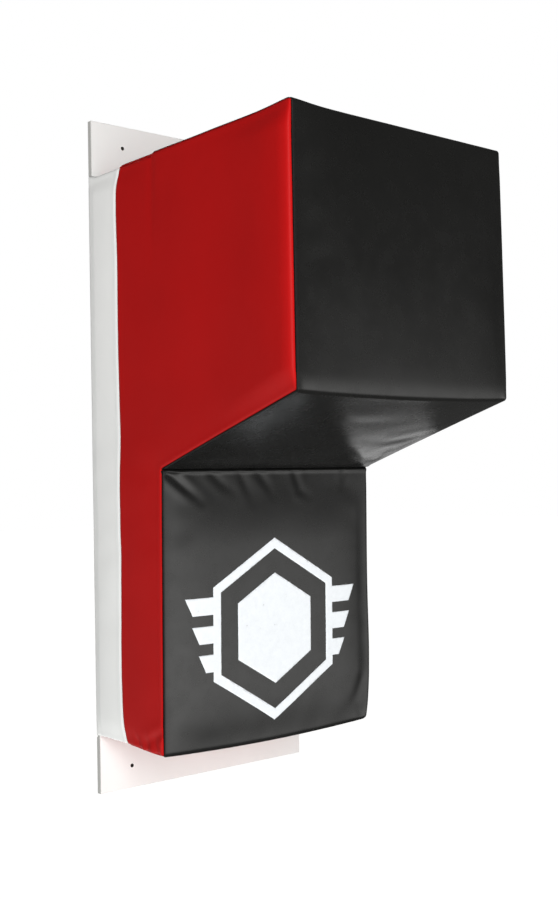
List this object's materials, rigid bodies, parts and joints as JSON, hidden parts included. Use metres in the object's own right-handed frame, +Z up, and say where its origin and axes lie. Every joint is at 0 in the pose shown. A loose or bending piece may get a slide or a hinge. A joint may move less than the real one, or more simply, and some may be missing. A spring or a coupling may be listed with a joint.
{
  "type": "wall-mounted uppercut pad",
  "caption": "Wall-mounted uppercut punching pad: a stepped foam body in a sewn red and black vinyl cover on a white board, with a sloping underside for upward punches.",
  "frame": {"origin": "centre of the board's back face, on the wall plane", "axes": "+Z up along the board, the struck faces look along -Y, +Y is into the wall, +X is to the right of someone facing the pad"},
  "size_m": [0.3526, 0.42, 0.9],
  "materials": {
    "laminate": "white laminated board, satin",
    "soft_foam": "matt grey closed-cell foam",
    "firm_foam": "matt dark grey closed-cell foam",
    "red_vinyl": "red coated fabric, satin with fine grain",
    "black_vinyl": "black coated fabric, satin with fine grain",
    "white_vinyl": "white coated fabric, satin",
    "fibre_strip": "pressed fibre tacking strip",
    "white_print": "white transfer print",
    "staple_steel": "galvanised staple wire"
  },
  "bodies": {
    "root": {"backboard": "laminate", "base_foam_slab": "soft_foam", "upper_foam_block": "soft_foam", "upper_face_firm_foam": "firm_foam", "underside_firm_foam": "firm_foam", "lower_face_firm_foam": "firm_foam", "left_side_panel": "red_vinyl", "right_side_panel": "red_vinyl", "top_panel": "red_vinyl", "bottom_panel": "red_vinyl", "upper_front_panel": "black_vinyl", "lower_front_panel": "black_vinyl", "left_rear_band": "white_vinyl", "right_rear_band": "white_vinyl", "top_tack_strip": "fibre_strip", "bottom_tack_strip": "fibre_strip", "badge_print": "white_print", "badge_core_print": "white_print", "left_hem_staple_01": "staple_steel", "left_hem_staple_02": "staple_steel", "left_hem_staple_03": "staple_steel", "left_hem_staple_04": "staple_steel", "left_hem_staple_05": "staple_steel", "left_hem_staple_06": "staple_steel", "left_hem_staple_07": "staple_steel", "left_hem_staple_08": "staple_steel", "left_hem_staple_09": "staple_steel", "left_hem_staple_10": "staple_steel", "left_hem_staple_11": "staple_steel", "left_hem_staple_12": "staple_steel", "right_hem_staple_01": "staple_steel", "right_hem_staple_02": "staple_steel", "right_hem_staple_03": "staple_steel", "right_hem_staple_04": "staple_steel", "right_hem_staple_05": "staple_steel", "right_hem_staple_06": "staple_steel", "right_hem_staple_07": "staple_steel", "right_hem_staple_08": "staple_steel", "right_hem_staple_09": "staple_steel", "right_hem_staple_10": "staple_steel", "right_hem_staple_11": "staple_steel", "right_hem_staple_12": "staple_steel", "top_tack_staple_01": "staple_steel", "top_tack_staple_02": "staple_steel", "top_tack_staple_03": "staple_steel", "top_tack_staple_04": "staple_steel", "bottom_tack_staple_01": "staple_steel", "bottom_tack_staple_02": "staple_steel", "bottom_tack_staple_03": "staple_steel", "bottom_tack_staple_04": "staple_steel"}
  },
  "joints": []
}
